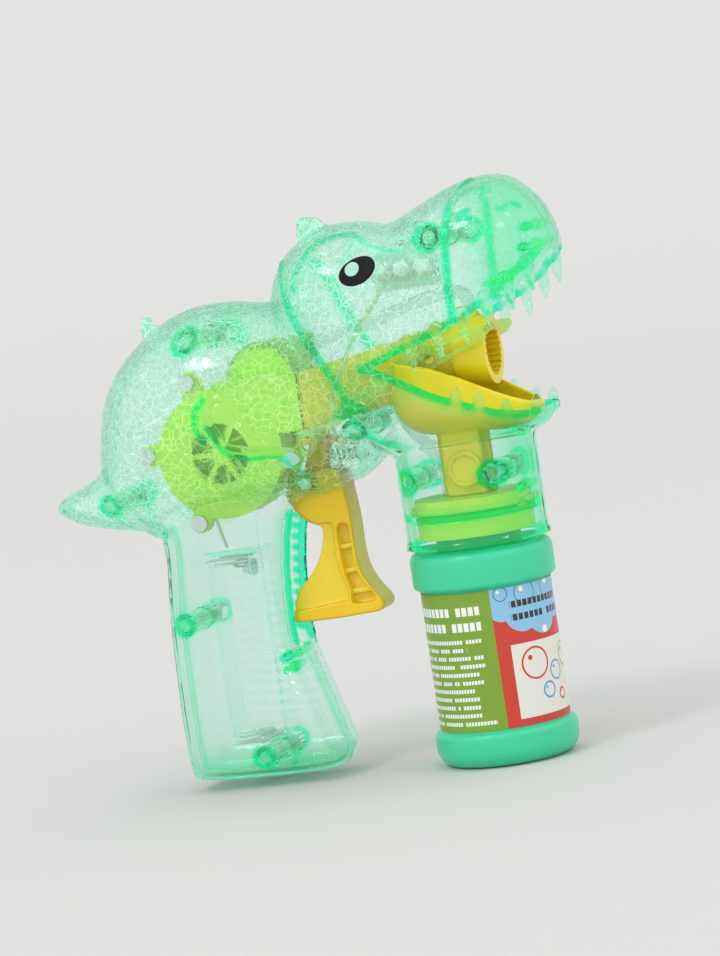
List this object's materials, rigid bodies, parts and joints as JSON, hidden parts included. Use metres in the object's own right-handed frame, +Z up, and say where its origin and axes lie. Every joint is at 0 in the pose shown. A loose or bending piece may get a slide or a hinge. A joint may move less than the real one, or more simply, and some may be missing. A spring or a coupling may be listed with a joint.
{
  "type": "bubble machine",
  "caption": "Hand-held bubble blaster shaped like an open-mouthed dinosaur, in clear tinted plastic, with a trigger, a mouth tray and nozzle, and a screw-on bottle.",
  "frame": {"origin": "on the ground under the middle of the overall box, in the plane where the casing halves meet", "axes": "+X the way the snout points, +Z up along the bottle, +Y towards the battery door side"},
  "size_m": [0.169, 0.0666, 0.1728],
  "materials": {
    "clear_green": "clear tinted moulded plastic, lightly crackled",
    "steel": "zinc-plated steel",
    "brass": "plain brass",
    "yellow_plastic": "opaque moulded plastic",
    "white_plastic": "natural acetal",
    "hose_rubber": "translucent silicone",
    "tube_plastic": "translucent tube",
    "mint_plastic": "opaque moulded plastic",
    "label_paper": "printed film label",
    "board": "coated board",
    "led_lens": "clear lens",
    "wire_red": "soft insulation"
  },
  "bodies": {
    "casing": {"right_shell": "clear_green", "left_shell": "clear_green", "shell_screws": "steel", "contact_springs": "steel", "contact_plates": "steel", "fan_housing": "yellow_plastic", "fan_cover": "yellow_plastic", "fan_screws": "steel", "motor_can": "steel", "motor_end_cap": "white_plastic", "motor_terminals": "brass", "motor_plate": "yellow_plastic", "gear_axles": "steel", "pump_housing": "yellow_plastic", "pump_lid": "yellow_plastic", "feed_hose": "hose_rubber", "air_duct": "yellow_plastic", "nozzle": "yellow_plastic", "drip_tray": "yellow_plastic", "bottle_cap": "yellow_plastic", "dip_tube": "tube_plastic", "trigger_pin": "steel", "trigger_spring": "steel", "switch_contacts": "brass", "circuit_board": "board", "leds": "led_lens", "lead_wires": "wire_red"},
    "door": {"battery_door": "clear_green", "battery_door_screw": "steel"},
    "fan_wheel": {"motor_shaft": "steel", "impeller": "white_plastic", "drive_pinion": "brass"},
    "reducer": {"reduction_gear": "white_plastic"},
    "pump_wheel": {"pump_gear": "white_plastic"},
    "roller_1": {"pump_roller_1": "white_plastic"},
    "roller_2": {"pump_roller_2": "white_plastic"},
    "seal_ring": {"bottle_seal": "hose_rubber"},
    "bottle": {"bottle": "mint_plastic", "bottle_label": "label_paper"},
    "trigger": {"trigger": "yellow_plastic", "contact_bridge": "brass"},
    "push_rod": {"push_rod": "yellow_plastic"},
    "film_wiper": {"film_wiper": "yellow_plastic"}
  },
  "joints": [
    {"name": "trigger_pull", "type": "hinge", "parent": "casing", "child": "trigger", "pos_m": [-0.001, 0, 0.09], "axis": [0, 1, 0], "range_deg": [0, 10], "stiffness_Nm_per_rad": 0.25, "springref_deg": -14.32, "deforming": ["trigger_spring"]},
    {"name": "rod_slide", "type": "slide", "parent": "casing", "child": "push_rod", "axis": [1, 0, 0], "range_m": [0, 0.0022]},
    {"name": "wiper_swing", "type": "hinge", "parent": "casing", "child": "film_wiper", "pos_m": [0.044, 0, 0.122], "axis": [0, 1, 0], "range_deg": [0, 39.5]},
    {"name": "motor_spin", "type": "hinge", "parent": "casing", "child": "fan_wheel", "pos_m": [-0.025, 0, 0.102], "axis": [0, 1, 0], "continuous": true},
    {"name": "reduction_spin", "type": "hinge", "parent": "casing", "child": "reducer", "pos_m": [-0.01318, 0, 0.10654], "axis": [0, 1, 0], "continuous": true},
    {"name": "pump_spin", "type": "hinge", "parent": "casing", "child": "pump_wheel", "pos_m": [-0.013, 0, 0.121], "axis": [0, 1, 0], "continuous": true},
    {"name": "roller_1_spin", "type": "hinge", "parent": "pump_wheel", "child": "roller_1", "pos_m": [-0.0086, 0, 0.121], "axis": [0, 1, 0], "continuous": true},
    {"name": "roller_2_spin", "type": "hinge", "parent": "pump_wheel", "child": "roller_2", "pos_m": [-0.0174, 0, 0.121], "axis": [0, 1, 0], "continuous": true},
    {"name": "bottle_pull", "type": "slide", "parent": "casing", "child": "seal_ring", "axis": [0, 0, -1], "range_m": [0, 0.08]},
    {"name": "bottle_turn", "type": "hinge", "parent": "seal_ring", "child": "bottle", "pos_m": [0.047, 0, 0.07], "axis": [0, 0, 1], "continuous": true},
    {"name": "door_lift", "type": "slide", "parent": "casing", "child": "door", "axis": [0, 1, 0], "range_m": [0, 0.03]}
  ],
  "couplings": [
    {"joint": "rod_slide", "follows": "trigger_pull", "m_per_rad": 0.0125},
    {"joint": "wiper_swing", "follows": "trigger_pull", "ratio": 3.9062},
    {"joint": "reduction_spin", "follows": "motor_spin", "ratio": -0.4},
    {"joint": "pump_spin", "follows": "motor_spin", "ratio": 0.13333},
    {"joint": "roller_1_spin", "follows": "motor_spin", "ratio": -0.4062},
    {"joint": "roller_2_spin", "follows": "motor_spin", "ratio": -0.4062}
  ]
}
